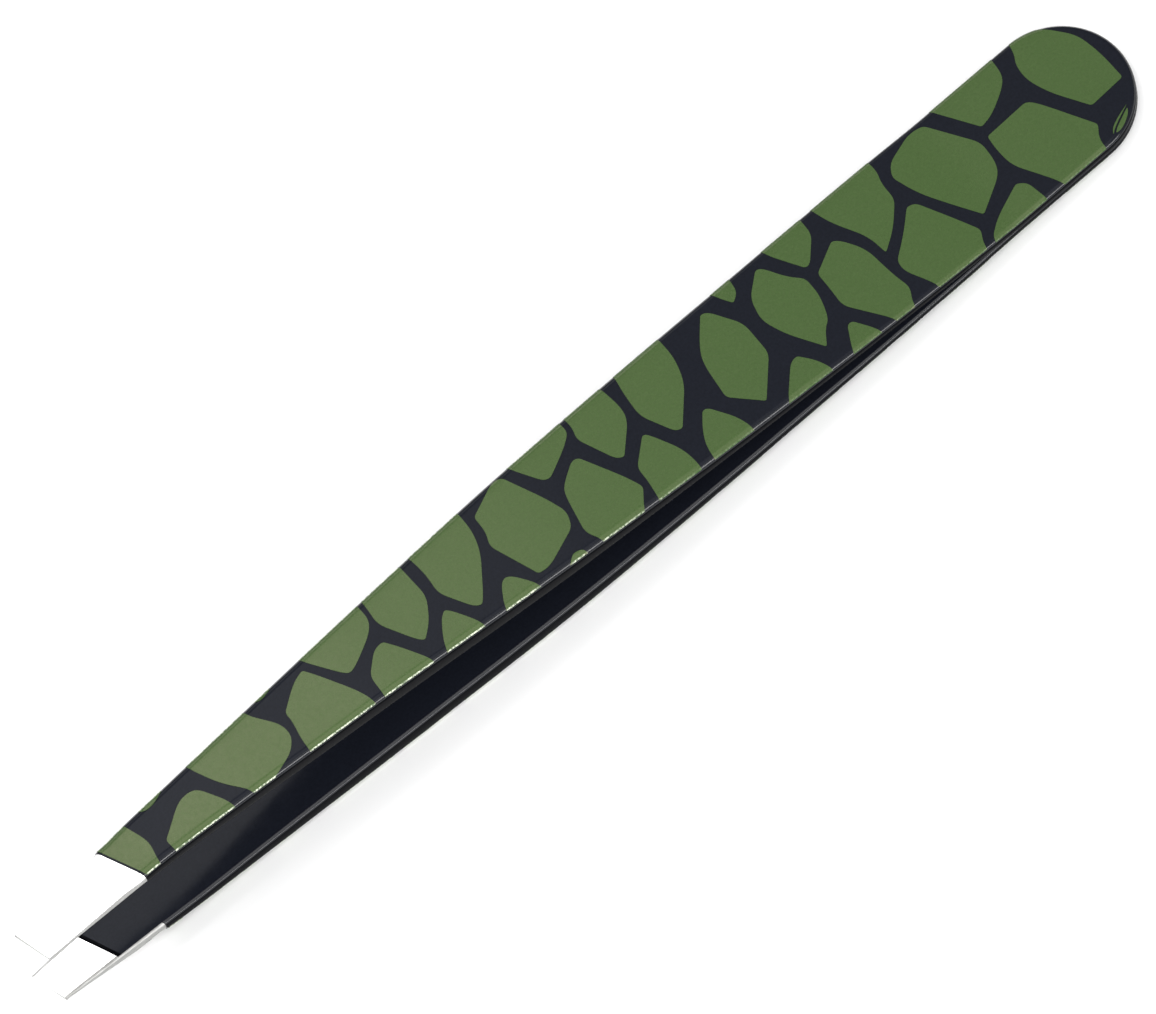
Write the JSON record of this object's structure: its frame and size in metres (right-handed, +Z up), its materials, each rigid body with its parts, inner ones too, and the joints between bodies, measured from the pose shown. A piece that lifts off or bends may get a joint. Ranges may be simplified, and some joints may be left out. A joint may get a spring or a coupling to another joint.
{
  "type": "slant tweezers",
  "caption": "Slant tweezers with two enamelled spring-steel arms, a printed scale pattern and bare ground tips; squeezing the arms closes the tips.",
  "frame": {"origin": "centre of the footprint, on the surface that the tweezers lie on", "axes": "+X from the butt towards the tips, +Z up as they lie on the butt and the lower belly, Y across the arms with the longer corner of the slanted tips at -Y"},
  "size_m": [0.0952, 0.0104, 0.0107],
  "materials": {
    "heel_steel": "bare spring steel under the enamel",
    "tip_steel": "bright ground and polished",
    "weld_metal": "fused spot-weld metal",
    "black_enamel": "glossy baked enamel",
    "green_print": "smooth printed ink under a clear coat"
  },
  "bodies": {
    "heel": {"upper_heel": "heel_steel", "lower_heel": "heel_steel", "weld_nugget_rear": "weld_metal", "weld_nugget_front": "weld_metal", "upper_heel_enamel": "black_enamel", "lower_heel_enamel": "black_enamel", "upper_heel_print": "green_print", "lower_heel_print": "green_print"},
    "upper_arm": {"upper_blade": "tip_steel", "upper_blade_enamel": "black_enamel", "upper_blade_print": "green_print"},
    "lower_arm": {"lower_blade": "tip_steel", "lower_blade_enamel": "black_enamel", "lower_blade_print": "green_print"}
  },
  "joints": [
    {"name": "upper_arm_flex", "type": "hinge", "parent": "heel", "child": "upper_arm", "pos_m": [-0.02357, 0, 0.00318], "axis": [0, 1, 0], "range_deg": [0, 2.81], "stiffness_Nm_per_rad": 2},
    {"name": "lower_arm_flex", "type": "hinge", "parent": "heel", "child": "lower_arm", "pos_m": [-0.02346, 0, 0.00118], "axis": [0, -1, 0], "range_deg": [0, 2.81], "stiffness_Nm_per_rad": 2}
  ],
  "couplings": [
    {"joint": "lower_arm_flex", "follows": "upper_arm_flex", "ratio": 1}
  ]
}
